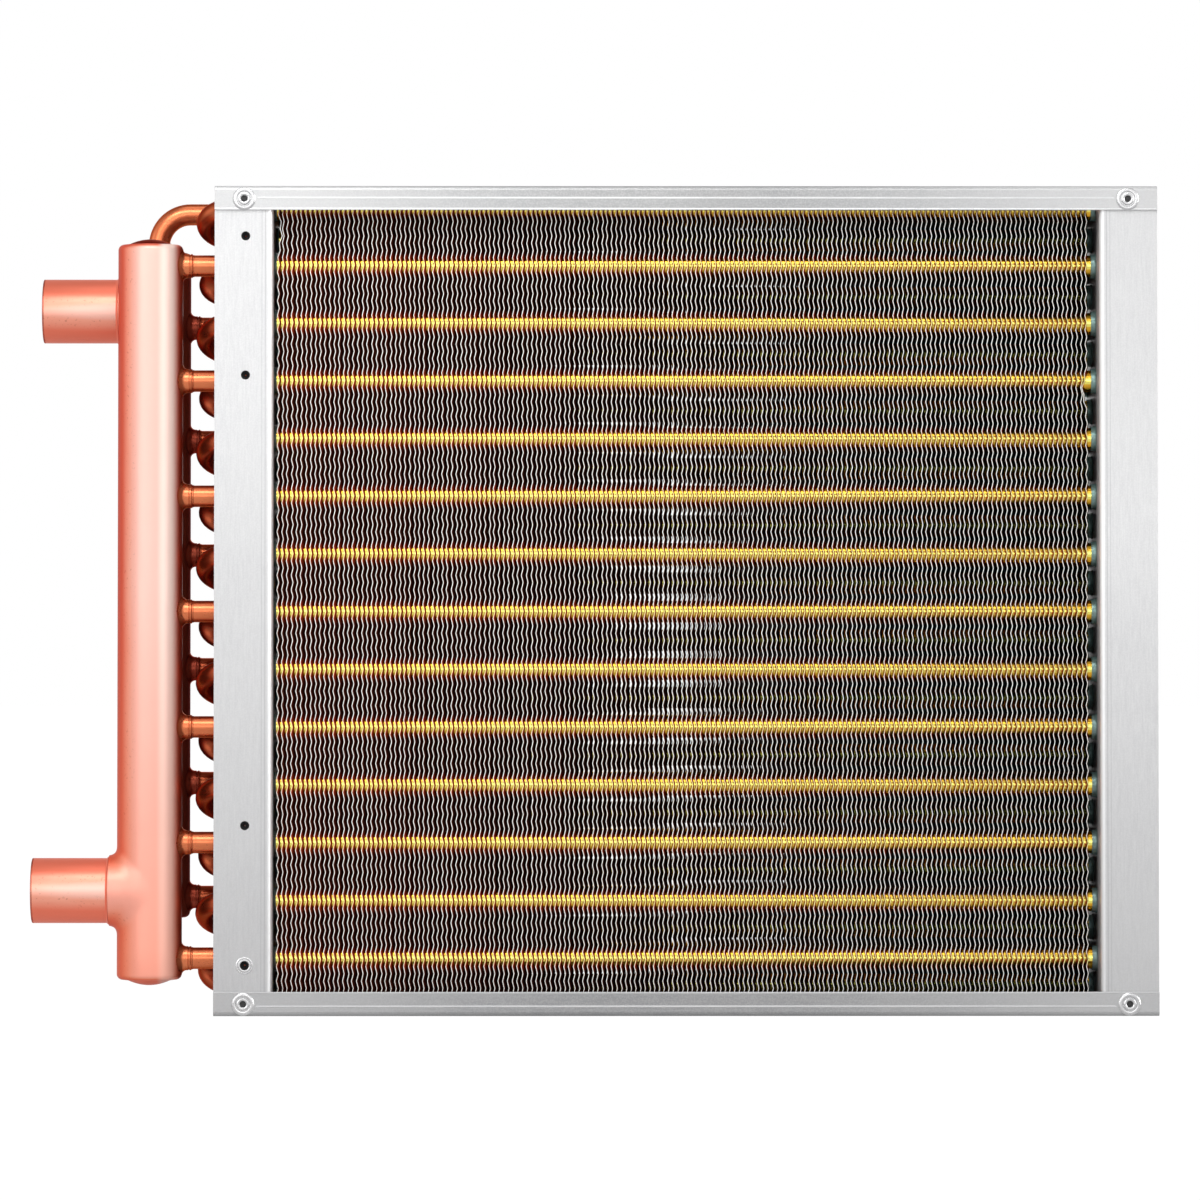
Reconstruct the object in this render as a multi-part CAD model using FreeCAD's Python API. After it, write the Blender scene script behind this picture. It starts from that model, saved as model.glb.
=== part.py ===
import FreeCAD, Part
import math
import os

# Water-to-air heat exchanger: a finned tube coil, three tube rows deep, in a folded sheet casing,
# with two copper headers beside it. The origin is the middle of the casing's underside.
# X runs along the fins' stack, away from the headers. The air passes along Y. Z is up.

Vector = FreeCAD.Vector

# Coil tubes, three eighths of an inch outside. There are many, so each is drawn with a few flats.
TUBE_OD = 9.52
TUBE_SIDES = 8
BEND_STEPS = 3
TUBE_FIT = 0.05
TUBE_PITCH = 25.4
ROW_PITCH = 22.0
TUBES_PER_ROW = 14

# Fins, pressed as one pack on the tubes. Its edges are ridges, each standing for one or two fins.
FIN_LENGTH = 357.4
FIN_RIDGES = 120
FIN_GROOVE = 3.0
FIN_HOLE_SIDES = 4

# Folded sheet casing
SHEET = 1.2
BEND_INNER = 0.8
LAP = 0.1
CASE_DEPTH = 89.0
END_FLANGE = 25.4
CHANNEL_FLANGE = 10.6
PLATE_TO_FINS_LEFT = 1.5
PLATE_TO_FINS_RIGHT = 3.4
FINS_TO_BOTTOM = 3.95
FINS_TO_TOP = 1.05

# Mounting holes in the front flange beside the headers, two pairs
SCREW_HOLE_R = 2.0
SCREW_PAIR_SPACING = 61.0
SCREW_END_MARGIN = 22.0
SCREW_FROM_EDGE = 13.6

# Blind rivets through the corners
RIVET_SIDES = 8
RIVET_SHANK_R = 1.6
RIVET_HEAD_R = 4.9
RIVET_CROWN_R = 3.3
RIVET_RIM = 0.5
RIVET_CROWN = 0.7
RIVET_TAIL = 1.5
RIVET_FROM_EDGE = 13.0
RIVET_FROM_BOTTOM = 5.3
RIVET_FROM_TOP = 5.7
RIVET_FIT = 0.05

# Hairpins and return bends, measured along X from the end plates
HAIRPIN_BEND_GAP = 2.1
LEG_STICK_OUT = 5.6
RETURN_BEND_STRAIGHT = 10.9
JOINT_GAP = 0.05

# Headers, drawn with flats too, and their round ports
HEADER_OD = 28.58
HEADER_SIDES = 24
HEADER_WALL = 1.25
SUPPLY_STANDOFF = 54.7
RETURN_STANDOFF = 53.6
HEADER_OVERHANG = 9.3
STUB_INTO_HEADER = 2.0
PORT_OD = 28.58
PORT_WALL = 1.25
PORT_REACH = 51.5
PORT_FIT = 0.05
SUPPLY_PORT_RISE = 29.7
RETURN_PORT_FALL = 43.4
COLLAR_WALL = 1.6
COLLAR_LENGTH = 3.5
COLLAR_SEAT = 4.5

# Pressed caps in the header ends
CAP_SIDES = 12
CAP_FIT = 0.05
CAP_TO_STUB = 0.5
CAP_EDGE_RISE = 0.6
CAP_DOME_RISE = 2.6
CAP_DOME_R = 7.5

# Crossover tube from the return header's top into the highest tube
CROSSOVER_RADIUS = 11.0
CROSSOVER_OVER_CAP = 0.2
CROSSOVER_PAST_CAP = 2.0

ROWS = 3
CIRCUITS = TUBES_PER_ROW // 2
RIDGE_PITCH = FIN_LENGTH / FIN_RIDGES
FIN_HEIGHT = TUBES_PER_ROW * TUBE_PITCH
FIN_DEPTH = ROWS * ROW_PITCH
CASE_HEIGHT = 2 * SHEET + FINS_TO_BOTTOM + FIN_HEIGHT + FINS_TO_TOP
PLATE_SPAN = PLATE_TO_FINS_LEFT + FIN_LENGTH + PLATE_TO_FINS_RIGHT
CASE_WIDTH = PLATE_SPAN + 2 * END_FLANGE
LEFT_PLATE_X = -PLATE_SPAN / 2
RIGHT_PLATE_X = PLATE_SPAN / 2
FIN_START_X = LEFT_PLATE_X + PLATE_TO_FINS_LEFT
FIN_BASE_Z = SHEET + FINS_TO_BOTTOM
TOP_TUBE_Z = FIN_BASE_Z + FIN_HEIGHT - TUBE_PITCH / 4
PLATE_EDGE_GAP = SHEET + BEND_INNER
CHANNEL_DEPTH = CASE_DEPTH + 2 * (SHEET + LAP)
JOINT_X = LEFT_PLATE_X - SHEET - LEG_STICK_OUT
SUPPLY_X = LEFT_PLATE_X - SUPPLY_STANDOFF
RETURN_X = LEFT_PLATE_X - RETURN_STANDOFF
HEADER_R = HEADER_OD / 2
HEADER_BORE_R = HEADER_R - HEADER_WALL
PORT_R = PORT_OD / 2
CAP_DEPTH = HEADER_OVERHANG - TUBE_OD / 2 - CAP_TO_STUB
RETURN_HEADER_TOP = TOP_TUBE_Z - CROSSOVER_RADIUS - CROSSOVER_OVER_CAP - CAP_DOME_RISE

ALONG_X = Vector(1, 0, 0)
ALONG_Y = Vector(0, 1, 0)
ALONG_Z = Vector(0, 0, 1)


def tube_centre(row, place, x=0.0):
    """Centre of a coil tube: row 0 faces the front and place 0 is the highest.

    The middle row is half a pitch lower than the others.
    """
    drop = TUBE_PITCH / 2 if row == 1 else 0.0
    return Vector(x, (row - 1) * ROW_PITCH, TOP_TUBE_Z - place * TUBE_PITCH - drop)


def same_area_radius(radius, sides):
    """Corner radius of a polygon with the same area as a circle."""
    return radius * math.sqrt(2 * math.pi / (sides * math.sin(2 * math.pi / sides)))


def radius_around(flat_distance, sides):
    """Corner radius of a polygon whose flats lie at a distance from its centre."""
    return flat_distance / math.cos(math.pi / sides)


def ring(centre, direction, side, radius, sides):
    """Corners of a regular polygon square to a direction, with a flat towards the side vector."""
    across = direction.cross(side)
    corners = []
    for i in range(sides):
        angle = 2 * math.pi * (i + 0.5) / sides
        corners.append(centre + side * (radius * math.cos(angle)) + across * (radius * math.sin(angle)))
    return corners


def closed_face(corners):
    return Part.Face(Part.makePolygon(corners + corners[:1]))


def solid_of_rings(rings):
    """Solid whose skin joins each ring to the next by flat four-sided faces."""
    sides = len(rings[0])
    faces = [closed_face(rings[0]), closed_face(rings[-1])]
    for near, far in zip(rings, rings[1:]):
        for i in range(sides):
            j = (i + 1) % sides
            faces.append(closed_face([near[i], near[j], far[j], far[i]]))
    solid = Part.Solid(Part.Shell(faces))
    if solid.Volume < 0:
        solid.reverse()
    return solid


def bent_tube(stations, side):
    """Coil tube through stations, each a centre and a direction, in the plane square to the side vector."""
    radius = same_area_radius(TUBE_OD / 2, TUBE_SIDES)
    rings = [ring(centre, direction, side, radius, TUBE_SIDES) for centre, direction in stations]
    return solid_of_rings(rings)


def prism(start, direction, length, radius, sides, side=ALONG_Y):
    """Straight bar with a regular polygon's section."""
    return closed_face(ring(start, direction, side, radius, sides)).extrude(direction * length)


def tube_hole(start, direction, length, sides=TUBE_SIDES):
    """Cutter for a coil tube's hole: its flats clear the tube's by the fit."""
    tube_flats = same_area_radius(TUBE_OD / 2, TUBE_SIDES) * math.cos(math.pi / TUBE_SIDES)
    return prism(start, direction, length, radius_around(tube_flats + TUBE_FIT, sides), sides)


def u_tube(first, second, outward, leg_end):
    """Two parallel legs along X from leg_end, joined beyond first and second by a half-circle bend."""
    middle = (first + second) * 0.5
    toward = (first - second).normalize()
    radius = (first - second).Length / 2
    stations = [(Vector(leg_end, first.y, first.z), outward)]
    for i in range(BEND_STEPS + 1):
        angle = math.pi * i / BEND_STEPS
        centre = middle + toward * (radius * math.cos(angle)) + outward * (radius * math.sin(angle))
        direction = outward * math.cos(angle) - toward * math.sin(angle)
        stations.append((centre, direction))
    stations.append((Vector(leg_end, second.y, second.z), outward * -1))
    return bent_tube(stations, toward.cross(outward))


def hairpin(row, place):
    """Long tube doubled back at the far end: its legs hold the fins and pass through both end plates."""
    bend_x = RIGHT_PLATE_X + SHEET + HAIRPIN_BEND_GAP
    return u_tube(tube_centre(row, place, bend_x), tube_centre(row, place + 1, bend_x), ALONG_X, JOINT_X)


def return_bend(row, place, next_row, next_place):
    """Short bend that joins two hairpins of neighbouring rows beside the headers."""
    bend_x = JOINT_X - RETURN_BEND_STRAIGHT
    start = tube_centre(row, place, bend_x)
    end = tube_centre(next_row, next_place, bend_x)
    return u_tube(start, end, ALONG_X * -1, JOINT_X - JOINT_GAP)


def stub(row, place, header_x):
    """Straight tube from a header's wall to a hairpin's open end."""
    inside_x = header_x + HEADER_BORE_R - STUB_INTO_HEADER
    ends = [tube_centre(row, place, inside_x), tube_centre(row, place, JOINT_X - JOINT_GAP)]
    return bent_tube([(centre, ALONG_X) for centre in ends], ALONG_Y)


def crossover():
    """Tube that rises through the return header's top cap and turns into the highest tube of the rear row."""
    end = tube_centre(2, 0, JOINT_X - JOINT_GAP)
    turn = Vector(RETURN_X + CROSSOVER_RADIUS, end.y, end.z - CROSSOVER_RADIUS)
    foot_z = RETURN_HEADER_TOP - CAP_DEPTH - CROSSOVER_PAST_CAP
    stations = [(Vector(RETURN_X, end.y, foot_z), ALONG_Z)]
    for i in range(BEND_STEPS + 1):
        angle = math.pi / 2 * i / BEND_STEPS
        outward = Vector(-math.cos(angle), 0, math.sin(angle))
        stations.append((turn + outward * CROSSOVER_RADIUS, Vector(math.sin(angle), 0, math.cos(angle))))
    stations.append((end, ALONG_X))
    return bent_tube(stations, ALONG_Y)


def coil_holes(start_x, length, sides=TUBE_SIDES):
    """Cutters for the holes that all the coil's tubes need in a piece."""
    holes = []
    for row in range(ROWS):
        for place in range(TUBES_PER_ROW):
            holes.append(tube_hole(tube_centre(row, place, start_x), ALONG_X, length, sides))
    return Part.makeCompound(holes)


def fin_pack():
    """All fins as one block with sharp upright ridges at the front and rear. The tubes' holes run along X.

    The end plates hide the holes' mouths, so each hole has only the flats that touch its tube.
    """
    half_depth = FIN_DEPTH / 2
    front = [Vector(FIN_START_X, -half_depth, FIN_BASE_Z)]
    for i in range(1, FIN_RIDGES):
        ridge_x = FIN_START_X + i * RIDGE_PITCH
        front.append(Vector(ridge_x - RIDGE_PITCH / 2, FIN_GROOVE - half_depth, FIN_BASE_Z))
        front.append(Vector(ridge_x, -half_depth, FIN_BASE_Z))
    rear = [Vector(point.x, -point.y, point.z) for point in reversed(front)]
    block = closed_face(front + rear).extrude(ALONG_Z * FIN_HEIGHT)
    return block.cut(coil_holes(FIN_START_X - 1, FIN_LENGTH + 2, FIN_HOLE_SIDES))


def fold_profile(web, flange, inset, radius):
    """Wire of one side of a folded sheet, from one flange's edge round both folds to the other's.

    The sheet's outer side has no inset and its inner side is inset by the sheet. The web lies along Y.
    """
    y = web / 2 - inset
    bend = radius * (1 - math.sqrt(0.5))
    return [
        Part.LineSegment(Vector(0, -y, flange), Vector(0, -y, inset + radius)),
        Part.Arc(
            Vector(0, -y, inset + radius),
            Vector(0, bend - y, inset + bend),
            Vector(0, radius - y, inset),
        ),
        Part.LineSegment(Vector(0, radius - y, inset), Vector(0, y - radius, inset)),
        Part.Arc(
            Vector(0, y - radius, inset),
            Vector(0, y - bend, inset + bend),
            Vector(0, y, inset + radius),
        ),
        Part.LineSegment(Vector(0, y, inset + radius), Vector(0, y, flange)),
    ]


def folded_channel(length, web, flange):
    """Sheet folded to a channel that runs along X: its web lies in the XY plane and its flanges stand up."""
    outer = fold_profile(web, flange, 0, SHEET + BEND_INNER)
    inner = fold_profile(web, flange, SHEET, BEND_INNER)
    first_end = Part.LineSegment(outer[0].StartPoint, inner[0].StartPoint)
    last_end = Part.LineSegment(outer[-1].EndPoint, inner[-1].EndPoint)
    edges = [segment.toShape() for segment in outer + inner + [first_end, last_end]]
    wire = Part.Wire(Part.__sortEdges__(edges))
    shape = Part.Face(wire).extrude(ALONG_X * length)
    shape.translate(ALONG_X * (-length / 2))
    return shape


def rivet_x(side):
    return side * (CASE_WIDTH / 2 - RIVET_FROM_EDGE)


def rivet_heights():
    return [RIVET_FROM_BOTTOM, CASE_HEIGHT - RIVET_FROM_TOP]


def rivet_holes():
    """Cutters for the rivets' holes through the lapped flanges, front and rear."""
    holes = []
    radius = RIVET_SHANK_R + RIVET_FIT
    for side in (-1, 1):
        for height in rivet_heights():
            start = Vector(rivet_x(side), -CHANNEL_DEPTH / 2 - 1, height)
            holes.append(prism(start, ALONG_Y, CHANNEL_DEPTH + 2, radius, RIVET_SIDES, ALONG_X))
    return Part.makeCompound(holes)


def screw_holes():
    """Cutters for the two pairs of mounting holes in the left front flange."""
    x = SCREW_FROM_EDGE - CASE_WIDTH / 2
    heights = []
    for end, direction in ((0.0, 1), (CASE_HEIGHT, -1)):
        heights.append(end + direction * SCREW_END_MARGIN)
        heights.append(end + direction * (SCREW_END_MARGIN + SCREW_PAIR_SPACING))
    cutters = []
    for height in heights:
        start = Vector(x, -CASE_DEPTH / 2 - 1, height)
        cutters.append(Part.makeCylinder(SCREW_HOLE_R, SHEET + 2, start, ALONG_Y))
    return Part.makeCompound(cutters)


def end_plate(side):
    """Tube sheet: a channel stood on end, flanges turned away from the fins, with a hole for each tube."""
    height = CASE_HEIGHT - 2 * PLATE_EDGE_GAP
    plate = folded_channel(height, CASE_DEPTH, END_FLANGE)
    plate.rotate(Vector(0, 0, 0), ALONG_Y, 90)
    if side < 0:
        plate.rotate(Vector(0, 0, 0), ALONG_Z, 180)
    plate.translate(Vector(side * PLATE_SPAN / 2, 0, CASE_HEIGHT / 2))
    plate = plate.cut(coil_holes(side * PLATE_SPAN / 2 - 2 * SHEET, 4 * SHEET))
    plate = plate.cut(rivet_holes())
    if side < 0:
        plate = plate.cut(screw_holes())
    return plate


def casing_channel(at_top):
    """Top or bottom of the casing: a channel over both end plates, its flanges lapped outside theirs."""
    channel = folded_channel(CASE_WIDTH, CHANNEL_DEPTH, CHANNEL_FLANGE)
    if at_top:
        channel.rotate(Vector(0, 0, 0), ALONG_X, 180)
        channel.translate(ALONG_Z * CASE_HEIGHT)
    return channel.cut(rivet_holes())


def rivet(x, height, facing):
    """Blind rivet: a shank through both flanges, a round flange head outside and a short tail inside."""
    outward = ALONG_Y * facing
    outer_face = CHANNEL_DEPTH / 2
    inner_face = CASE_DEPTH / 2 - SHEET
    profile = [
        (inner_face - RIVET_TAIL, RIVET_SHANK_R),
        (outer_face, RIVET_SHANK_R),
        (outer_face, RIVET_HEAD_R),
        (outer_face + RIVET_RIM, RIVET_HEAD_R),
        (outer_face + RIVET_RIM + RIVET_CROWN, RIVET_CROWN_R),
    ]
    rings = []
    for distance, radius in profile:
        centre = Vector(x, 0, height) + outward * distance
        rings.append(ring(centre, outward, ALONG_X, radius, RIVET_SIDES))
    return solid_of_rings(rings)


def rivets():
    found = []
    for facing in (-1, 1):
        for side in (-1, 1):
            for height in rivet_heights():
                found.append(rivet(rivet_x(side), height, facing))
    return Part.makeCompound(found)


def header(x, row, low, high, port_z, places):
    """Header tube with a collar drawn out for its port and a hole for each stub. Its ends take the caps."""
    y = (row - 1) * ROW_PITCH
    left = ALONG_X * -1
    port_axis = Vector(x, y, port_z)
    foot = Vector(x, y, low)
    seat_r = radius_around(PORT_R + PORT_FIT, HEADER_SIDES)
    body = prism(foot, ALONG_Z, high - low, same_area_radius(HEADER_R, HEADER_SIDES), HEADER_SIDES)
    collar_profile = [
        (0.0, HEADER_BORE_R),
        (HEADER_R, seat_r + COLLAR_WALL),
        (HEADER_R + COLLAR_LENGTH, seat_r + COLLAR_WALL),
    ]
    collar_rings = []
    for distance, radius in collar_profile:
        collar_rings.append(ring(port_axis + left * distance, left, ALONG_Y, radius, HEADER_SIDES))
    body = body.fuse(solid_of_rings(collar_rings)).removeSplitter()
    seat_start = port_axis + left * (HEADER_R + COLLAR_LENGTH - COLLAR_SEAT)
    cutters = [
        prism(foot, ALONG_Z, high - low, radius_around(HEADER_BORE_R, HEADER_SIDES), HEADER_SIDES),
        prism(port_axis, left, HEADER_R + COLLAR_LENGTH, PORT_R - PORT_WALL, HEADER_SIDES),
        prism(seat_start, left, COLLAR_SEAT, seat_r, HEADER_SIDES),
    ]
    for place in places:
        cutters.append(tube_hole(tube_centre(row, place, x), ALONG_X, HEADER_OD))
    return body.cut(Part.makeCompound(cutters))


def port(x, row, port_z):
    """Straight round tube brazed into a header's collar: water comes in or goes out here.

    The short length inside the collar has the collar's flats.
    """
    left = ALONG_X * -1
    collar_end = HEADER_R + COLLAR_LENGTH
    axis = Vector(x, (row - 1) * ROW_PITCH, port_z)
    seated = axis + left * (collar_end - COLLAR_SEAT)
    tube = Part.makeCylinder(PORT_R, PORT_REACH - collar_end, axis + left * collar_end, left)
    tube = tube.fuse(prism(seated, left, COLLAR_SEAT, radius_around(PORT_R, HEADER_SIDES), HEADER_SIDES))
    return tube.cut(prism(axis, left, PORT_REACH, PORT_R - PORT_WALL, HEADER_SIDES))


def header_cap(x, row, end_z, facing):
    """Shallow pressed cap set inside a header's end, domed outwards."""
    radius = HEADER_BORE_R - CAP_FIT
    profile = [
        (-CAP_DEPTH, radius),
        (CAP_EDGE_RISE, radius),
        (CAP_DOME_RISE, CAP_DOME_R),
    ]
    outward = ALONG_Z * facing
    rings = []
    for distance, ring_radius in profile:
        centre = Vector(x, (row - 1) * ROW_PITCH, end_z) + outward * distance
        rings.append(ring(centre, outward, ALONG_X, ring_radius, CAP_SIDES))
    return solid_of_rings(rings)


def headers_and_ports():
    """Both headers with their ports, caps and stubs, and the crossover, as node names and shapes."""
    supply_places = range(1, TUBES_PER_ROW, 2)
    return_places = range(2, TUBES_PER_ROW, 2)
    supply_low = tube_centre(0, supply_places[-1]).z - HEADER_OVERHANG
    supply_high = tube_centre(0, supply_places[0]).z + HEADER_OVERHANG
    return_low = tube_centre(2, return_places[-1]).z - HEADER_OVERHANG
    return_high = RETURN_HEADER_TOP
    supply_port_z = tube_centre(0, TUBES_PER_ROW - 1).z + SUPPLY_PORT_RISE
    return_port_z = TOP_TUBE_Z - RETURN_PORT_FALL
    shapes = {}
    shapes["supply_header"] = header(SUPPLY_X, 0, supply_low, supply_high, supply_port_z, supply_places)
    shapes["return_header"] = header(RETURN_X, 2, return_low, return_high, return_port_z, return_places)
    shapes["supply_port"] = port(SUPPLY_X, 0, supply_port_z)
    shapes["return_port"] = port(RETURN_X, 2, return_port_z)
    shapes["supply_header_top_cap"] = header_cap(SUPPLY_X, 0, supply_high, 1)
    shapes["supply_header_bottom_cap"] = header_cap(SUPPLY_X, 0, supply_low, -1)
    below_cap = Vector(RETURN_X, ROW_PITCH, return_high - 2 * CAP_DEPTH)
    crossover_hole = tube_hole(below_cap, ALONG_Z, 4 * CAP_DEPTH)
    shapes["return_header_top_cap"] = header_cap(RETURN_X, 2, return_high, 1).cut(crossover_hole)
    shapes["return_header_bottom_cap"] = header_cap(RETURN_X, 2, return_low, -1)
    for number, place in enumerate(supply_places, 1):
        shapes["supply_stub_%d" % number] = stub(0, place, SUPPLY_X)
    shapes["return_stubs"] = Part.makeCompound([stub(2, place, RETURN_X) for place in return_places])
    shapes["crossover_tube"] = crossover()
    return shapes


def circuits():
    """Seven water paths, each three hairpins and two return bends, as node names and shapes."""
    shapes = {}
    for circuit in range(CIRCUITS):
        upper = 2 * circuit
        number = circuit + 1
        for row, name in enumerate(("front", "middle", "rear")):
            shapes["%s_hairpin_%d" % (name, number)] = hairpin(row, upper)
        shapes["front_return_bend_%d" % number] = return_bend(0, upper, 1, upper)
        shapes["rear_return_bend_%d" % number] = return_bend(1, upper + 1, 2, upper + 1)
    return shapes


def all_pieces():
    shapes = {}
    shapes["fin_pack"] = fin_pack()
    shapes["left_end_plate"] = end_plate(-1)
    shapes["right_end_plate"] = end_plate(1)
    shapes["top_channel"] = casing_channel(True)
    shapes["bottom_channel"] = casing_channel(False)
    shapes["corner_rivets"] = rivets()
    shapes.update(circuits())
    shapes.update(headers_and_ports())
    return shapes


os.makedirs("parts", exist_ok=True)
for node, shape in all_pieces().items():
    shape.exportStep("parts/%s.step" % node)
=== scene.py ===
import bpy
import math
import random
import numpy as np
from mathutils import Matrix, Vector


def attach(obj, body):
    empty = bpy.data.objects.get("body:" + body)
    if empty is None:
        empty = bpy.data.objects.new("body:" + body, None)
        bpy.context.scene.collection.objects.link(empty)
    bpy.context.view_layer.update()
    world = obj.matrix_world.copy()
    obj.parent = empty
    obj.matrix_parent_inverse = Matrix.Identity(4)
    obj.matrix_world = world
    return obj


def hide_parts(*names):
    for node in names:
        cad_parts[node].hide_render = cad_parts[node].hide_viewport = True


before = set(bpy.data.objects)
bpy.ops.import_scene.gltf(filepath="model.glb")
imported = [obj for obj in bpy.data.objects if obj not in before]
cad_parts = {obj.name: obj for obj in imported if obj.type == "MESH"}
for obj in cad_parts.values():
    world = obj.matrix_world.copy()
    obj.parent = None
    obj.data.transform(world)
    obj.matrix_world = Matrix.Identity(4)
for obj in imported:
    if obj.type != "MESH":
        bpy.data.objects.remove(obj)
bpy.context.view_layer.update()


# Camera: a long lens square to the front, a little below the middle of the coil's height. It looks up
# by two degrees, and the frame's shift brings the coil back to the middle of the picture.
camera = bpy.data.objects.new("camera", bpy.data.cameras.new("camera"))
camera.data.sensor_width = 36
camera.data.lens = 199.74
camera.data.shift_y = -0.1647
camera.data.clip_start = 0.05
camera.location = (-0.0538, -2.9582, 0.1676)
camera.rotation_euler = (math.radians(91.975), 0, math.radians(-0.316))
bpy.context.scene.collection.objects.link(camera)
bpy.context.scene.camera = camera
bpy.context.scene.view_settings.view_transform = "Standard"


# Studio: a white sweep round the coil, seven soft boxes and a pale floor that keeps the coil's shadow.
# In the metal the sweep's back, head and foot look dimmer than its front, so that round forms show
# their edges.
def node_maker(tree):
    """Adds nodes to a tree: kind, settings and linked or plain inputs in one call."""
    def add(kind, inputs=None, **settings):
        node = tree.nodes.new(kind)
        for key, value in settings.items():
            setattr(node, key, value)
        for key, value in (inputs or {}).items():
            if isinstance(value, bpy.types.NodeSocket):
                tree.links.new(value, node.inputs[key])
            else:
                node.inputs[key].default_value = value
        return node
    return add


def ramp_stops(node, stops):
    """Gives a Color Ramp its stops, each a place and a grey."""
    elements = node.color_ramp.elements
    while len(elements) > 1:
        elements.remove(elements[-1])
    for index, (place, grey) in enumerate(stops):
        element = elements[0] if index == 0 else elements.new(place)
        element.position = place
        element.color = (grey, grey, grey, 1)


world = bpy.data.worlds.new("studio")
bpy.context.scene.world = world
world.use_nodes = True
world.node_tree.nodes.clear()
add = node_maker(world.node_tree)
direction = add("ShaderNodeSeparateXYZ", {0: add("ShaderNodeTexCoord").outputs["Generated"]})
facing = add("ShaderNodeMath", {0: direction.outputs["Y"], 1: -1.0}, operation="MULTIPLY")
azimuth = add("ShaderNodeMath", {0: direction.outputs["X"], 1: facing.outputs[0]}, operation="ARCTAN2")
round_turn = add("ShaderNodeMapRange", {0: azimuth.outputs[0], 1: -math.pi, 2: math.pi})
sides = add("ShaderNodeValToRGB", {0: round_turn.outputs[0]})
ramp_stops(sides, [(0.0, 0.50), (0.14, 0.55), (0.28, 0.70), (0.44, 0.92),
                   (0.60, 1.0), (0.71, 1.0), (0.80, 0.80), (1.0, 0.50)])
height = add("ShaderNodeMapRange", {0: direction.outputs["Z"], 1: -1.0, 2: 1.0})
heights = add("ShaderNodeValToRGB", {0: height.outputs[0]})
ramp_stops(heights, [(0.0, 0.30), (0.08, 0.22), (0.25, 0.45), (0.42, 0.66), (0.49, 0.80),
                     (0.55, 1.0), (0.80, 0.90), (0.92, 0.55), (1.0, 0.42)])
mirrored = add("ShaderNodeMix", {0: 1.0, 6: sides.outputs[0], 7: heights.outputs[0]}, data_type="RGBA",
                       blend_type="MULTIPLY")
ambient = add("ShaderNodeBackground", {"Color": (0.98, 0.985, 1.0, 1), "Strength": 0.45})
reflected = add("ShaderNodeBackground", {"Color": mirrored.outputs[2], "Strength": 1.2})
white = add("ShaderNodeBackground", {"Color": (1, 1, 1, 1), "Strength": 1.0})
rays = add("ShaderNodeLightPath")
seen = add("ShaderNodeMath", {0: rays.outputs["Is Camera Ray"], 1: rays.outputs["Is Transmission Ray"]},
           operation="MAXIMUM")
lit = add("ShaderNodeMixShader", {0: rays.outputs["Is Glossy Ray"], 1: ambient.outputs[0],
                                  2: reflected.outputs[0]})
both = add("ShaderNodeMixShader", {0: seen.outputs[0], 1: lit.outputs[0], 2: white.outputs[0]})
add("ShaderNodeOutputWorld", {"Surface": both.outputs[0]})


def lamp(name, place, target, width, height, radiance):
    """Soft box of a given size and brightness that faces a target."""
    light = bpy.data.lights.new(name, "AREA")
    light.shape = "RECTANGLE"
    light.size = width
    light.size_y = height
    light.energy = radiance * math.pi * width * height
    lit_object = bpy.data.objects.new(name, light)
    lit_object.location = place
    lit_object.rotation_euler = (Vector(target) - Vector(place)).to_track_quat("-Z", "Y").to_euler()
    lit_object.visible_camera = False
    bpy.context.scene.collection.objects.link(lit_object)


COIL_MIDDLE = (0, 0, 0.18)
COIL_FACE = (0, 0, 0.2)
COIL_UPPER_LEFT = (-0.1, 0, 0.3)
lamp("front_left_box", (-1.75, -3.0, 0.85), COIL_FACE, width=1.3, height=1.5, radiance=2.2)
lamp("front_box", (-0.1, -3.9, 0.62), COIL_FACE, width=1.5, height=0.9, radiance=1.6)
lamp("front_high_box", (-0.25, -0.75, 0.95), COIL_UPPER_LEFT, width=0.9, height=0.3, radiance=5.0)
lamp("front_right_box", (2.75, -1.9, 0.75), COIL_FACE, width=1.4, height=1.5, radiance=6.0)
lamp("left_box", (-3.0, -0.3, 0.8), COIL_FACE, width=1.4, height=1.5, radiance=0.6)
lamp("top_box", (0, -0.2, 2.8), COIL_MIDDLE, width=1.8, height=1.2, radiance=1.0)
lamp("rear_box", (0.4, 3.2, 1.0), COIL_MIDDLE, width=1.7, height=1.7, radiance=1.0)

FLOOR_REACH = 12
FLOOR_Z = -0.0002
floor_corners = [(FLOOR_REACH * x, FLOOR_REACH * y, FLOOR_Z) for x, y in ((-1, -1), (1, -1), (1, 1), (-1, 1))]
floor_mesh = bpy.data.meshes.new("floor")
floor_mesh.from_pydata(floor_corners, [], [(0, 1, 2, 3)])
floor = bpy.data.objects.new("floor", floor_mesh)
bpy.context.scene.collection.objects.link(floor)
floor_paint = bpy.data.materials.new("floor_paint")
floor_paint.use_nodes = True
floor_paint.node_tree.nodes.clear()
add = node_maker(floor_paint.node_tree)
matt = add("ShaderNodeBsdfDiffuse", {"Color": (0.55, 0.55, 0.55, 1)})
bright = add("ShaderNodeEmission", {"Color": (1, 1, 1, 1), "Strength": 1.06})
rays = add("ShaderNodeLightPath")
mirrored = add("ShaderNodeMath", {0: rays.outputs["Is Glossy Ray"], 1: 0.5}, operation="MULTIPLY")
seen = add("ShaderNodeMath", {0: rays.outputs["Is Camera Ray"], 1: mirrored.outputs[0]}, operation="MAXIMUM")
share = add("ShaderNodeMath", {0: seen.outputs[0], 1: 0.95}, operation="MULTIPLY")
mix = add("ShaderNodeMixShader", {0: share.outputs[0], 1: matt.outputs[0], 2: bright.outputs[0]})
add("ShaderNodeOutputMaterial", {"Surface": mix.outputs[0]})
floor_mesh.materials.append(floor_paint)


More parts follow.
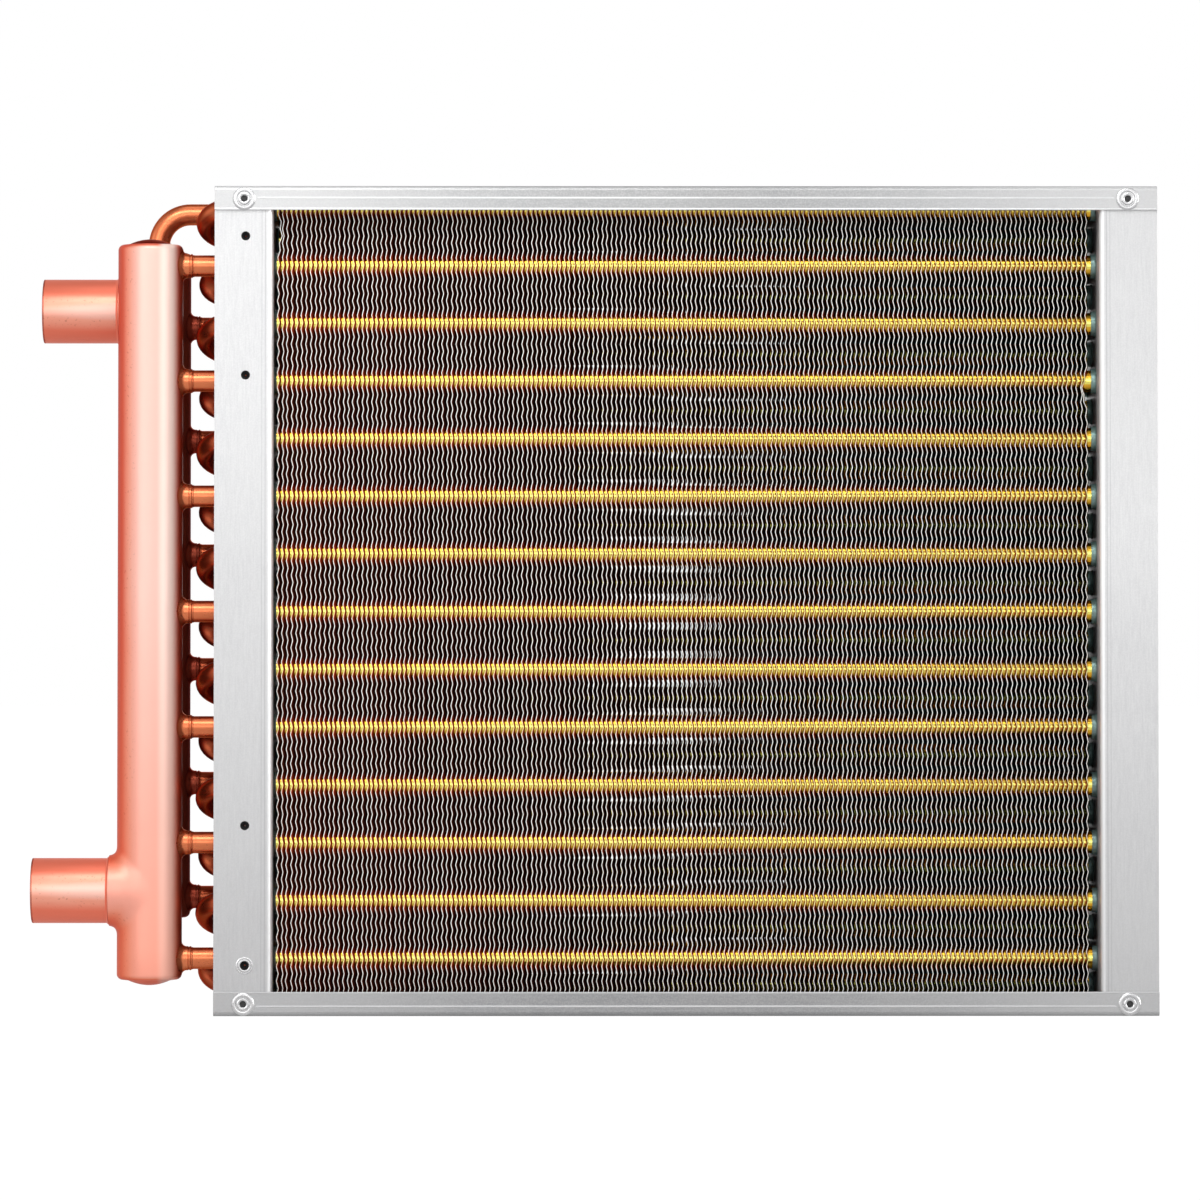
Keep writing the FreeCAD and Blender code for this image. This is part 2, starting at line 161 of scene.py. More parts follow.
# Casing: two channels above and below and two end plates, folded from bright galvanised steel 1.2 mm
# thick. The channels lap over the end plates' flanges and are riveted to them. The zinc has a fine
# drawn grain, small spangles and faint pale and grey clouds.
def shader_group(name, inputs, outputs):
    """New shader node group, its input and output nodes, and a maker for the nodes between them."""
    tree = bpy.data.node_groups.new(name, "ShaderNodeTree")
    for socket, kind, value in inputs:
        made = tree.interface.new_socket(socket, in_out="INPUT", socket_type="NodeSocket" + kind)
        made.default_value = value
    for socket in outputs:
        tree.interface.new_socket(socket, in_out="OUTPUT", socket_type="NodeSocketFloat")
    return tree, tree.nodes.new("NodeGroupInput"), tree.nodes.new("NodeGroupOutput"), node_maker(tree)


# Drawn grain: fine streaks along one axis, soft clouds and sparse specks. They lie in the piece's own
# coordinates.
grain_tree, given, result, add = shader_group(
    "drawn_grain",
    [("Stretch", "Vector", (1, 1, 1)), ("Fineness", "Float", 400.0), ("Cloud Scale", "Float", 12.0),
     ("Speck Scale", "Float", 600.0), ("Speck Limit", "Float", 0.75)],
    ["Streak", "Cloud", "Speck"])
place = add("ShaderNodeTexCoord")
drawn = add("ShaderNodeVectorMath", {0: place.outputs["Object"], 1: given.outputs["Stretch"]},
            operation="MULTIPLY")
streak = add("ShaderNodeTexNoise", {"Vector": drawn.outputs[0], "Scale": given.outputs["Fineness"],
                                    "Detail": 3.0, "Roughness": 0.6})
cloud = add("ShaderNodeTexNoise", {"Vector": place.outputs["Object"], "Scale": given.outputs["Cloud Scale"],
                                   "Detail": 3.0, "Roughness": 0.55})
dots = add("ShaderNodeTexNoise", {"Vector": place.outputs["Object"], "Scale": given.outputs["Speck Scale"],
                                  "Detail": 1.0})
SPECK_SHARPNESS = 14.0
over = add("ShaderNodeMath", {0: dots.outputs["Fac"], 1: given.outputs["Speck Limit"]}, operation="SUBTRACT")
speck = add("ShaderNodeMath", {0: over.outputs[0], 1: SPECK_SHARPNESS}, operation="MULTIPLY", use_clamp=True)
grain_tree.links.new(streak.outputs["Fac"], result.inputs["Streak"])
grain_tree.links.new(cloud.outputs["Fac"], result.inputs["Cloud"])
grain_tree.links.new(speck.outputs[0], result.inputs["Speck"])


def new_material(name):
    """Empty node material, and a maker for its nodes."""
    material = bpy.data.materials.new(name)
    material.use_nodes = True
    material.node_tree.nodes.clear()
    return material, node_maker(material.node_tree)


def grain_node(add, stretch, fineness, cloud_scale, speck_scale=600.0, speck_limit=0.75):
    """Drawn grain placed in a material with its own values."""
    node = add("ShaderNodeGroup", node_tree=grain_tree)
    for key, value in (("Stretch", stretch), ("Fineness", fineness), ("Cloud Scale", cloud_scale),
                       ("Speck Scale", speck_scale), ("Speck Limit", speck_limit)):
        node.inputs[key].default_value = value
    return node


def blend_colours(add, factor, first, second):
    """Colour between two colours or colour sockets by a value or value socket."""
    mix = add("ShaderNodeMix", data_type="RGBA", blend_type="MIX")
    tree = mix.id_data
    for index, value in ((0, factor), (6, first), (7, second)):
        if isinstance(value, bpy.types.NodeSocket):
            tree.links.new(value, mix.inputs[index])
        elif index == 0:
            mix.inputs[index].default_value = value
        else:
            mix.inputs[index].default_value = (*value, 1)
    return mix.outputs[2]


def span(add, value, low, high):
    """Value from 0 to 1 brought to another range."""
    return add("ShaderNodeMapRange", {0: value, 3: low, 4: high}).outputs[0]


MM = 0.001
SPANGLE_GAIN = 1.25
# Painted shade on the zinc: its colour goes toward a dark grey at the foot of the casing and at its upper
# right corner.
SHADE_ZINC = (0.15, 0.15, 0.16)
FOOT_SHADE_SHARE = 0.38
FOOT_TOP_LEFT = 0.27
FOOT_TOP_RIGHT = 0.21
CORNER_SHADE_SHARE = 0.13
CORNER_FROM = 0.22
CORNER_FULL = 0.35
MIDDLE_BLEND = 0.01
# Painted highlight: a channel's colour turns paler toward its ends.
END_HIGHLIGHT = (0.75, 0.75, 0.75)
PALE_FROM = 0.03
CHANNEL_END = 0.205
FLANGE_FROM = 0.0418
FLANGE_TO = 0.0426


def sheet_material(name, stretch, dark, pale, bright, painted_folds=(), spangle=0.12, end_highlight_share=0.0):
    """Galvanised sheet: clouds between two greys, finer streaks and spangle specks, with painted light and
    shade.
    It has painted shade toward the foot and the upper right corner, and a channel a painted highlight at its
    ends.
    Each painted line has its distance from the middle and its half width in mm, a share and a tone: white
    lines are a painted highlight on a bend, grey ones a painted shade along a crease."""
    material, add = new_material(name)
    grain = grain_node(add, stretch, fineness=330.0, cloud_scale=14.0, speck_scale=1500.0, speck_limit=0.50)
    clouds = blend_colours(add, span(add, grain.outputs["Cloud"], -0.4, 1.4), dark, pale)
    colour = blend_colours(add, span(add, grain.outputs["Streak"], -0.5, 1.2), clouds, bright)
    colour = blend_colours(add, span(add, grain.outputs["Speck"], 0.0, spangle), colour,
                           tuple(SPANGLE_GAIN * value for value in bright))
    place = add("ShaderNodeSeparateXYZ", {0: add("ShaderNodeTexCoord").outputs["Object"]})
    # Painted shade: masks that darken the sheet toward its foot and its upper right corner.
    right_side = add("ShaderNodeMapRange", {0: place.outputs["X"], 1: -MIDDLE_BLEND, 2: MIDDLE_BLEND})
    foot_top = add("ShaderNodeMapRange", {0: place.outputs["X"], 1: -MIDDLE_BLEND, 2: MIDDLE_BLEND,
                                          3: FOOT_TOP_LEFT, 4: FOOT_TOP_RIGHT})
    foot = add("ShaderNodeMapRange", {0: place.outputs["Z"], 1: 0.0, 2: foot_top.outputs[0],
                                      3: FOOT_SHADE_SHARE, 4: 0.0})
    corner = add("ShaderNodeMapRange", {0: place.outputs["Z"], 1: CORNER_FROM, 2: CORNER_FULL,
                                        3: 0.0, 4: CORNER_SHADE_SHARE})
    corner = add("ShaderNodeMath", {0: corner.outputs[0], 1: right_side.outputs[0]}, operation="MULTIPLY")
    # Painted highlight: the channel turns paler toward its ends.
    if end_highlight_share:
        from_middle = add("ShaderNodeMath", {0: place.outputs["X"]}, operation="ABSOLUTE")
        ends = add("ShaderNodeMapRange", {0: from_middle.outputs[0], 1: PALE_FROM, 2: CHANNEL_END,
                                          3: 0.0, 4: end_highlight_share}, interpolation_type="SMOOTHSTEP")
        colour = blend_colours(add, ends.outputs[0], colour, END_HIGHLIGHT)
    # Painted highlight along each end plate's bend, and painted shade as faint grey lines along its creases.
    if painted_folds:
        across = add("ShaderNodeMath", {0: place.outputs["X"]}, operation="ABSOLUTE")
        deep = add("ShaderNodeMath", {0: place.outputs["Y"]}, operation="ABSOLUTE")
        on_flange = add("ShaderNodeMapRange", {0: deep.outputs[0], 1: FLANGE_FROM, 2: FLANGE_TO})
        for middle, half, share, tone in painted_folds:
            away = add("ShaderNodeMath", {0: across.outputs[0], 1: middle * MM}, operation="SUBTRACT")
            away = add("ShaderNodeMath", {0: away.outputs[0]}, operation="ABSOLUTE")
            line = add("ShaderNodeMapRange", {0: away.outputs[0], 1: half * 0.6 * MM, 2: half * MM,
                                              3: share, 4: 0.0})
            mask = add("ShaderNodeMath", {0: line.outputs[0], 1: on_flange.outputs[0]}, operation="MULTIPLY")
            colour = blend_colours(add, mask.outputs[0], colour, tone)
    colour = blend_colours(add, foot.outputs[0], colour, SHADE_ZINC)
    colour = blend_colours(add, corner.outputs[0], colour, SHADE_ZINC)
    rough = span(add, grain.outputs["Streak"], 0.30, 0.42)
    bump = add("ShaderNodeBump", {"Height": grain.outputs["Streak"], "Strength": 0.10, "Distance": 0.0002})
    shader = add("ShaderNodeBsdfPrincipled", {"Base Color": colour, "Roughness": rough, "Metallic": 0.4,
                                              "Normal": bump.outputs[0]})
    add("ShaderNodeOutputMaterial", {"Surface": shader.outputs[0]})
    return material


GRAIN_UPRIGHT = (4.0, 4.0, 0.35)
GRAIN_LEVEL = (0.35, 4.0, 4.0)
GRAIN_EVEN = (1.0, 1.0, 1.0)
# Painted light on the end plates: a white line where the flange bends is a painted highlight, and two grey
# lines along faint creases are a painted shade.
FOLD_HIGHLIGHT_WHITE = (1.0, 1.0, 1.0)
CREASE_SHADE_GREY = (0.45, 0.45, 0.46)
plate_zinc = sheet_material(
    "plate_zinc", GRAIN_UPRIGHT, dark=(0.62, 0.62, 0.63), pale=(0.70, 0.70, 0.70), bright=(0.76, 0.76, 0.76),
    painted_folds=[(181.5, 2.0, 1.0, FOLD_HIGHLIGHT_WHITE),
           (184.3, 0.28, 0.55, CREASE_SHADE_GREY),
           (185.8, 0.25, 0.4, CREASE_SHADE_GREY)])
# Painted shade: the channels are the end plates' zinc painted much darker.
shaded_channel_zinc = sheet_material(
    "shaded_channel_zinc", GRAIN_LEVEL, dark=(0.32, 0.33, 0.34), pale=(0.395, 0.395, 0.395),
    bright=(0.47, 0.47, 0.47), spangle=0.35, end_highlight_share=0.66)


def paint_node(node, material):
    """Gives a finished CAD node its material."""
    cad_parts[node].data.materials.clear()
    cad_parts[node].data.materials.append(material)


for node in ("left_end_plate", "right_end_plate"):
    paint_node(node, plate_zinc)
for node in ("top_channel", "bottom_channel"):
    paint_node(node, shaded_channel_zinc)


# Stiffening beads: a narrow half-round line pressed along the middle of each channel flange between
# its rivets, front and rear, in the same sheet. Each flange's cut edge has a fine lip. Beads and lips are
# painted a paler zinc than the channels, a painted highlight along each.
def add_piece(name, vertices, faces, material, replaced=(), smooth=40):
    """Mesh piece in the row's frame, from points in millimetres, that rides on the coil."""
    mesh = bpy.data.meshes.new(name)
    mesh.from_pydata([(x * MM, y * MM, z * MM) for x, y, z in vertices], [], faces)
    mesh.validate()
    mesh.materials.append(material)
    mesh.polygons.foreach_set("use_smooth", [True] * len(mesh.polygons))
    mesh.set_sharp_from_angle(angle=math.radians(smooth))
    piece = bpy.data.objects.new(name, mesh)
    bpy.context.scene.collection.objects.link(piece)
    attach(piece, "root")
    if replaced:
        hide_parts(*replaced)
    return piece


class Skin:
    """Points and faces of one piece while it is put together from closed bodies."""

    def __init__(self):
        self.points = []
        self.faces = []

    def rings(self, rings, cap_start=True, wrap=False):
        """Joins rings of points to a skin. Flat faces close the ends, or the last ring meets the first."""
        first = len(self.points)
        count = len(rings[0])
        for ring in rings:
            self.points.extend(tuple(point) for point in ring)
        steps = len(rings) if wrap else len(rings) - 1
        for step in range(steps):
            near = first + step * count
            far = first + ((step + 1) % len(rings)) * count
            for i in range(count):
                j = (i + 1) % count
                self.faces.append((near + i, near + j, far + j, far + i))
        if cap_start and not wrap:
            self.faces.append(tuple(first + i for i in reversed(range(count))))
        if not wrap:
            last = first + (len(rings) - 1) * count
            self.faces.append(tuple(last + i for i in range(count)))


def circle(centre, along, side, radius, count):
    """Points of a circle square to a direction."""
    across = along.cross(side)
    points = []
    for i in range(count):
        angle = 2 * math.pi * i / count
        points.append(centre + side * (radius * math.cos(angle)) + across * (radius * math.sin(angle)))
    return points


def turned(skin, centre, along, side, profile, count, wrap=False):
    """Adds a body of revolution: profile points are distances along the axis and radii."""
    rings = [circle(centre + along * distance, along, side, radius, count) for distance, radius in profile]
    skin.rings(rings, wrap=wrap)


X, Y, Z = Vector((1, 0, 0)), Vector((0, 1, 0)), Vector((0, 0, 1))
CHANNEL_FACE = 45.8
CASE_HEIGHT = 363.0
BEAD_END_X = 188.0
BEAD_RUN_OUT = 1.0
BEAD_SINK = 0.02
BEAD_PROFILE = ((0.55, 0.0), (0.1, 0.06), (-0.25, 0.13), (-0.42, 0.13), (-0.5, 0.0), (-0.5, -0.2),
                (0.55, -0.2))
EDGE_END_X = 206.5
EDGE_HEIGHT = 10.6
EDGE_PROFILE = ((0.05, -0.3), (0.05, 0.06), (0.3, 0.14), (0.6, 0.12), (0.85, 0.0), (0.85, -0.3))

beads = Skin()
for facing in (-1, 1):
    for height in (4.35, CASE_HEIGHT - 5.25):
        rings = []
        for x, swell in ((-BEAD_END_X, 0.0), (BEAD_RUN_OUT - BEAD_END_X, 1.0),
                         (BEAD_END_X - BEAD_RUN_OUT, 1.0), (BEAD_END_X, 0.0)):
            ring = []
            for rise, out in BEAD_PROFILE:
                swollen = out * swell if out > 0 else out
                ring.append(Vector((x, facing * (CHANNEL_FACE - BEAD_SINK + swollen), height + rise)))
            rings.append(ring)
        beads.rings(rings)
    for edge, inward in ((EDGE_HEIGHT, -1), (CASE_HEIGHT - EDGE_HEIGHT, 1)):
        rings = []
        for x in (-EDGE_END_X, EDGE_END_X):
            rings.append([Vector((x, facing * (CHANNEL_FACE + out), edge + inward * rise))
                          for rise, out in EDGE_PROFILE])
        beads.rings(rings)
# Painted highlight: beads and lips get a paler zinc than the channels.
bead_highlight_zinc = sheet_material(
    "bead_highlight_zinc", GRAIN_LEVEL, dark=(0.66, 0.67, 0.68), pale=(0.74, 0.74, 0.74), bright=(0.82, 0.82, 0.82))
add_piece("channel_beads", beads.points, beads.faces, bead_highlight_zinc)


# Tube collars: each tube hole of the end plates is drawn out towards the fins to a short collar that
# holds its tube. The collars are painted a dark bluish green: a painted shade for the gap between plate
# and fins, with a painted greenish reflection.
TUBE_R = 4.76
TUBE_PITCH = 25.4
ROW_PITCH = 22.0
TOP_TUBE_Z = 354.4
ROWS = 3
TUBES_IN_ROW = 14
PLATE_INNER_X = 181.15


def tube_place(row, place):
    """Y and Z of a tube: the rows go from front to rear and the places from the top down."""
    return (row - 1) * ROW_PITCH, TOP_TUBE_Z - place * TUBE_PITCH - (TUBE_PITCH / 2 if row == 1 else 0)


collars = Skin()
for face_x, inward, reach in ((-PLATE_INNER_X, 1, 1.1), (PLATE_INNER_X, -1, 2.3)):
    profile = [(-0.1, 6.3), (0.15, 5.75), (0.6, 5.45), (reach, 5.4), (reach, 4.82), (-0.1, 4.82)]
    for row in range(ROWS):
        for place in range(TUBES_IN_ROW):
            y, z = tube_place(row, place)
            turned(collars, Vector((face_x, y, z)), X * inward, Z, profile, 24, wrap=True)
collar_shade_zinc = sheet_material(
    "collar_shade_zinc", GRAIN_EVEN, dark=(0.14, 0.27, 0.25), pale=(0.23, 0.40, 0.37), bright=(0.34, 0.54, 0.51))
add_piece("plate_collars", collars.points, collars.faces, collar_shade_zinc)


# Fins: 173 thin aluminium foils, pressed with a ripple of four waves to each tube pitch, stacked along
# the tubes and held by their own collars. Only the cut edges keep the aluminium's pale colour; the foils'
# faces are painted near black, a painted shade for the dark between the fins. A painted red reflection of
# the copper lies on them near the tubes and toward the left, and the edges are painted amber and gilt
# near each tube as a painted reflection of its copper.
FIN_COUNT = 173
FIN_FIRST_X = -178.5
FIN_PITCH = 2.0656
FIN_HALF_DEPTH = 33.0
FIN_LOW = 5.15
FIN_HIGH = 360.75
RIPPLE = 0.40
RIPPLE_LENGTH = TUBE_PITCH / 4
FIN_EDGE = 0.30
FIN_THICK = 0.28
FIN_LEAN = 0.95
FIN_DRAW = 0.63
FIN_DRAW_DEPTH = 14.0
FIN_GROUPS = 5
STEPS_PER_WAVE = 4
KNOCKS = {0: (1.3, 343.0, 7.0), FIN_COUNT - 1: (-1.6, 274.0, 6.0)}
NO_KNOCK = (0.0, 274.0, 6.0)
CUT_EDGE_FROM = 0.0326
CUT_EDGE_FULL = 0.0330
RED_REFLECTION = (0.85, 0.14, 0.04)
RIM_AMBER_REFLECTION = (1.0, 0.66, 0.26)
RIM_GILT_REFLECTION = (1.0, 0.98, 0.37)

# The fins' painted red reflection, amber and gilt reach out from each tube's height by a share of the tube
# pitch.
foil, add = new_material("fin_foil")
grain = grain_node(add, GRAIN_EVEN, fineness=900.0, cloud_scale=30.0, speck_scale=500.0, speck_limit=0.66)
tone = span(add, grain.outputs["Cloud"], 0.0, 1.0)
place = add("ShaderNodeSeparateXYZ", {0: add("ShaderNodeTexCoord").outputs["Object"]})
depth = add("ShaderNodeMath", {0: place.outputs["Y"]}, operation="ABSOLUTE")
edge = add("ShaderNodeMapRange", {0: depth.outputs[0], 1: CUT_EDGE_FROM, 2: CUT_EDGE_FULL, 3: 0.0, 4: 1.0})
pitches = add("ShaderNodeMath", {0: place.outputs["Z"], 1: 1 / (TUBE_PITCH * MM),
                                 2: 0.5 - TOP_TUBE_Z / TUBE_PITCH}, operation="MULTIPLY_ADD")
part = add("ShaderNodeMath", {0: pitches.outputs[0]}, operation="FRACT")
away = add("ShaderNodeMath", {0: part.outputs[0], 1: 0.5}, operation="SUBTRACT")
distance = add("ShaderNodeMath", {0: away.outputs[0]}, operation="ABSOLUTE")
near = add("ShaderNodeMapRange", {0: distance.outputs[0], 1: 0.10, 2: 0.26, 3: 1.0, 4: 0.0},
           interpolation_type="SMOOTHSTEP")
warm = add("ShaderNodeMapRange", {0: place.outputs["X"], 1: -0.18, 2: 0.10, 3: 0.33, 4: 0.05})
glow_reflection = add("ShaderNodeMath", {0: near.outputs[0], 1: warm.outputs[0]}, operation="MAXIMUM")
# Painted shade: the foils' faces are near black, with a painted red reflection near the tubes and toward the
# left.
body = blend_colours(add, tone, (0.007, 0.006, 0.006), (0.014, 0.012, 0.012))
body = blend_colours(add, glow_reflection.outputs[0], body, RED_REFLECTION)
# The pale cut edges, painted amber and gilt near each tube as a painted reflection of its copper.
rim = blend_colours(add, tone, (0.96, 0.92, 0.85), (1.0, 0.97, 0.91))
amber = add("ShaderNodeMapRange", {0: distance.outputs[0], 1: 0.055, 2: 0.14, 3: 0.8, 4: 0.0},
            interpolation_type="SMOOTHSTEP")
rim = blend_colours(add, amber.outputs[0], rim, RIM_AMBER_REFLECTION)
gilt = add("ShaderNodeMapRange", {0: distance.outputs[0], 1: 0.050, 2: 0.075, 3: 0.95, 4: 0.0},
           interpolation_type="SMOOTHSTEP")
rim = blend_colours(add, gilt.outputs[0], rim, RIM_GILT_REFLECTION)
colour = blend_colours(add, edge.outputs[0], body, rim)
shader = add("ShaderNodeBsdfPrincipled", {
    "Base Color": colour, "Metallic": span(add, edge.outputs[0], 0.0, 0.5),
    "Roughness": span(add, edge.outputs[0], 0.9, 0.40), "Specular IOR Level": 0.1})
add("ShaderNodeOutputMaterial", {"Surface": shader.outputs[0]})

chance = random.Random(4)
steps = int(round((FIN_HIGH - FIN_LOW) / RIPPLE_LENGTH * STEPS_PER_WAVE))
inset = FIN_HALF_DEPTH - FIN_DRAW_DEPTH
fin_depth = 2 * FIN_HALF_DEPTH
for group in range(FIN_GROUPS):
    fins = Skin()
    for number in range(group * FIN_COUNT // FIN_GROUPS, (group + 1) * FIN_COUNT // FIN_GROUPS):
        front_x = FIN_FIRST_X + number * FIN_PITCH + chance.uniform(-0.06, 0.06)
        draw = FIN_DRAW + chance.uniform(-0.06, 0.06)
        lean = FIN_LEAN + chance.uniform(-0.1, 0.1)
        sway = chance.uniform(0.0, 0.14)
        phase = chance.uniform(0, 2 * math.pi)
        turns = chance.uniform(0.8, 2.6)
        lift = chance.uniform(0.9, 1.1)
        knock, knock_z, knock_length = KNOCKS.get(number, NO_KNOCK)
        rings = []
        for step in range(steps + 1):
            z = FIN_LOW + (FIN_HIGH - FIN_LOW) * step / steps
            wave = RIPPLE * lift * math.cos(2 * math.pi * (z - TOP_TUBE_Z) / RIPPLE_LENGTH)
            x = front_x + wave + sway * math.sin(phase + turns * 2 * math.pi * z / (FIN_HIGH - FIN_LOW))
            x += knock * math.exp(-((z - knock_z) / knock_length) ** 2)
            line = [(x - draw, -FIN_HALF_DEPTH, FIN_EDGE / 2),
                    (x + lean * FIN_DRAW_DEPTH / fin_depth + draw, -inset, FIN_THICK / 2),
                    (x + lean * (1 - FIN_DRAW_DEPTH / fin_depth) + draw, inset, FIN_THICK / 2),
                    (x + lean - draw, FIN_HALF_DEPTH, FIN_EDGE / 2)]
            ring = [Vector((centre_x - half, y, z)) for centre_x, y, half in reversed(line)]
            ring += [Vector((centre_x + half, y, z)) for centre_x, y, half in line]
            rings.append(ring)
        fins.rings(rings)
    add_piece("fins_%d" % (group + 1), fins.points, fins.faces, foil,
              ("fin_pack",) if group == 0 else (), smooth=50)


# Hairpin tubes: 21 copper tubes, 9.52 mm outside, bent double at the right. Their legs run through all
# the fins and both end plates. Between the fins the copper is painted golden, bright in a narrow band
# round its middle and darker above and below it: a painted highlight. Beyond the right plate it turns
# to copper red.
STREAK_TONE = 0.86
# Painted highlight: a pale, less metallic line up the right of the supply header.
SHOULDER_RISE = (-0.2325, -0.2290)
SHOULDER_FALL = (-0.2260, -0.2222)
SHOULDER_HIGHLIGHT = (1.0, 0.75, 0.66)
SHOULDER_METALLIC = 0.1
# Painted shade: the supply header's foot turns to a warmer, less pale red.
FOOT_SHADE_RED = (1.0, 0.23, 0.10)
FOOT_SHADE_RED_SHARE = 0.5
FOOT_SHADE_RED_Z = (0.02, 0.19)


def copper_material(name, low, high, edge, tint, rough, stretch, fineness, darkest, metallic=1.0, coat=0.0,
                    turn=(0.16, 0.62), side_tone=None, crown=None, crown_reach=0.32, speckle=0.70, shoulder=False):
    """Satin copper: streaked and clouded between two tones, with dark specks. Where it slopes away from the
    eye it turns to the edge tone, a painted darker rim, and where it is met square on to a pale middle tone,
    a painted highlight. A side tone has the X in mm where it starts and where it is full, and its tone. A
    shoulder is a painted highlight, a pale, less metallic line that runs up the supply header, with a warmer,
    less pale tone at the header's foot, a painted shade."""
    material, add = new_material(name)
    grain = grain_node(add, stretch, fineness, cloud_scale=26.0, speck_scale=900.0, speck_limit=speckle)
    clouds = blend_colours(add, span(add, grain.outputs["Cloud"], -0.6, 1.6), low, high)
    streaked = blend_colours(add, span(add, grain.outputs["Streak"], -0.15, 0.55), clouds,
                             tuple(value * STREAK_TONE for value in low))
    colour = blend_colours(add, span(add, grain.outputs["Speck"], 0.0, 0.45), streaked, darkest)
    # Painted sheen and highlight: the colour turns to the edge tone where the surface slopes away from the
    # eye and to a pale middle tone where it is met square on.
    view = add("ShaderNodeLayerWeight", {"Blend": 0.5})
    grazing = add("ShaderNodeMapRange", {0: view.outputs["Facing"], 1: turn[0], 2: turn[1]},
                  interpolation_type="SMOOTHSTEP")
    if crown:
        facing = add("ShaderNodeMapRange", {0: view.outputs["Facing"], 1: 0.0, 2: crown_reach,
                                            3: 1.0, 4: 0.0}, interpolation_type="SMOOTHSTEP")
        colour = blend_colours(add, facing.outputs[0], colour, crown)
    turned_away = blend_colours(add, grazing.outputs[0], colour, edge)
    place = add("ShaderNodeSeparateXYZ", {0: add("ShaderNodeTexCoord").outputs["Object"]})
    if shoulder:
        # Painted highlight up the supply header's right side.
        rise = add("ShaderNodeMapRange", {0: place.outputs["X"], 1: SHOULDER_RISE[0], 2: SHOULDER_RISE[1]},
                   interpolation_type="SMOOTHSTEP")
        fall = add("ShaderNodeMapRange", {0: place.outputs["X"], 1: SHOULDER_FALL[0], 2: SHOULDER_FALL[1],
                                          3: 1.0, 4: 0.0}, interpolation_type="SMOOTHSTEP")
        lit = add("ShaderNodeMath", {0: rise.outputs[0], 1: fall.outputs[0]}, operation="MULTIPLY")
        turned_away = blend_colours(add, lit.outputs[0], turned_away, SHOULDER_HIGHLIGHT)
        metallic = span(add, lit.outputs[0], metallic, SHOULDER_METALLIC)
        # Painted shade toward the header's foot.
        foot = add("ShaderNodeMapRange", {0: place.outputs["Z"], 1: FOOT_SHADE_RED_Z[0], 2: FOOT_SHADE_RED_Z[1],
                                          3: FOOT_SHADE_RED_SHARE, 4: 0.0})
        turned_away = blend_colours(add, foot.outputs[0], turned_away, FOOT_SHADE_RED)
    if side_tone:
        # On the headers this tone is a painted shade along their right sides; on the hairpins it gives the
        # bends beyond the right plate their copper red.
        side_tone_from, side_tone_full, side_tone_colour = side_tone
        mark = add("ShaderNodeMapRange", {0: place.outputs["X"], 1: side_tone_from * MM, 2: side_tone_full * MM},
                   interpolation_type="SMOOTHSTEP")
        turned_away = blend_colours(add, mark.outputs[0], turned_away, side_tone_colour)
    bump = add("ShaderNodeBump", {"Height": grain.outputs["Streak"], "Strength": 0.12, "Distance": 0.0002})
    shader = add("ShaderNodeBsdfPrincipled", {
        "Base Color": turned_away, "Metallic": metallic,
        "Roughness": span(add, grain.outputs["Streak"], rough - 0.05, rough + 0.08),
        "Specular Tint": (*tint, 1), "Normal": bump.outputs[0], "Coat Weight": coat, "Coat Roughness": 0.3,
        "Coat IOR": 1.6})
    add("ShaderNodeOutputMaterial", {"Surface": shader.outputs[0]})
    return material


# Painted highlight: golden copper with a narrow bright band where the tube faces the eye.
core_copper = copper_material(
    "core_copper", low=(1.0, 0.88, 0.18), high=(1.0, 0.97, 0.24), edge=(0.80, 0.44, 0.04),
    tint=(1.0, 0.66, 0.2), rough=0.15, stretch=(0.2, 1.0, 1.0), fineness=900.0, darkest=(0.50, 0.25, 0.04),
    turn=(0.02, 0.065), side_tone=(182.4, 183.6, (0.78, 0.26, 0.13)))
HAIRPINS_IN_ROW = 7
JOINT_X = -187.95
BEND_X = 184.45


def arc_line(middle, toward, outward, radius, count):
    """Points and directions along a half circle from middle + toward to middle - toward."""
    stations = []
    for i in range(count + 1):
        angle = math.pi * i / count
        stations.append((middle + toward * (radius * math.cos(angle)) + outward * (radius * math.sin(angle)),
                         outward * math.cos(angle) - toward * math.sin(angle)))
    return stations


def u_stations(first, second, outward, leg_x, bend_steps=20):
    """Points and directions along a U from leg_x round the bend and back, and the bend's axis."""
    middle = (first + second) / 2
    toward = (first - second).normalized()
    radius = (first - second).length / 2
    stations = [(Vector((leg_x, first.y, first.z)), outward)]
    stations += arc_line(middle, toward, outward, radius, bend_steps)
    stations.append((Vector((leg_x, second.y, second.z)), -outward))
    return stations, toward.cross(outward)


def tube_along(skin, stations, side, radius, count=32):
    """Adds a round tube through stations, closed at both ends."""
    skin.rings([circle(centre, along, side, radius, count) for centre, along in stations])


for row, row_name in enumerate(("front", "middle", "rear")):
    for number in range(HAIRPINS_IN_ROW):
        y, high_z = tube_place(row, 2 * number)
        low_z = tube_place(row, 2 * number + 1)[1]
        hairpin = Skin()
        stations, side = u_stations(Vector((BEND_X, y, high_z)), Vector((BEND_X, y, low_z)), X, JOINT_X)
        tube_along(hairpin, stations, side, TUBE_R)
        name = "%s_hairpin_%d" % (row_name, number + 1)
        add_piece(name + "_tube", hairpin.points, hairpin.faces, core_copper, (name,))


# Return bends: short copper U-bends that join the hairpins of neighbouring rows beside the headers.
# Their ends are belled over the tube ends and brazed. Their copper is painted dark red: a painted shade
# for the recess between the headers and the casing.
shaded_bend_copper = copper_material(
    "shaded_bend_copper", low=(0.44, 0.09, 0.04), high=(0.56, 0.14, 0.055), edge=(0.28, 0.04, 0.02),
    tint=(1.0, 0.4, 0.2), rough=0.28, stretch=(0.4, 1.0, 1.0), fineness=260.0, darkest=(0.08, 0.02, 0.01),
    metallic=0.9)
RETURN_BEND_X = -198.85


